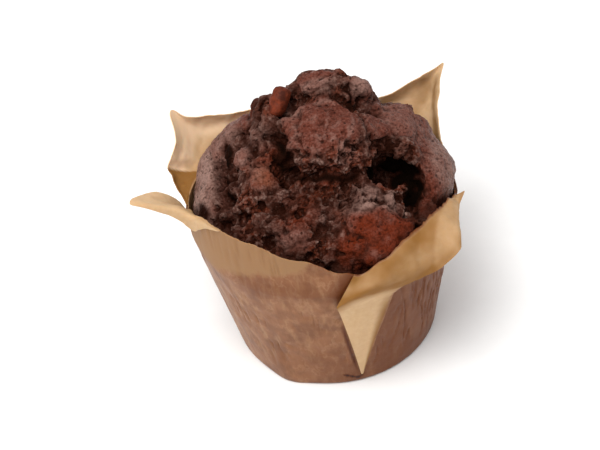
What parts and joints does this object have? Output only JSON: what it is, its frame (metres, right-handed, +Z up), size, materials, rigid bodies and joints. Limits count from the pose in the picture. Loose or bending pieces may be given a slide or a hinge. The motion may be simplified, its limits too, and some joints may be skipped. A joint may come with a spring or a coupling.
{
  "type": "chocolate muffin",
  "caption": "Burst-topped dark chocolate muffin in a folded tulip paper case with flared petals.",
  "frame": {"origin": "centre of the paper case's flat base, on the surface it stands on", "axes": "+Z up through the muffin, -Y towards the front pleat of the paper, +X to the right"},
  "size_m": [0.0923, 0.0816, 0.0799],
  "materials": {
    "cake": "dry baked crust with moist crumb in the cracks",
    "chocolate": "satin baked chocolate",
    "paper": "brown baking parchment, grease-soaked where it touches the cake"
  },
  "bodies": {
    "root": {"cake": "cake", "chocolate_chunk": "chocolate", "paper_case": "paper"}
  },
  "joints": []
}
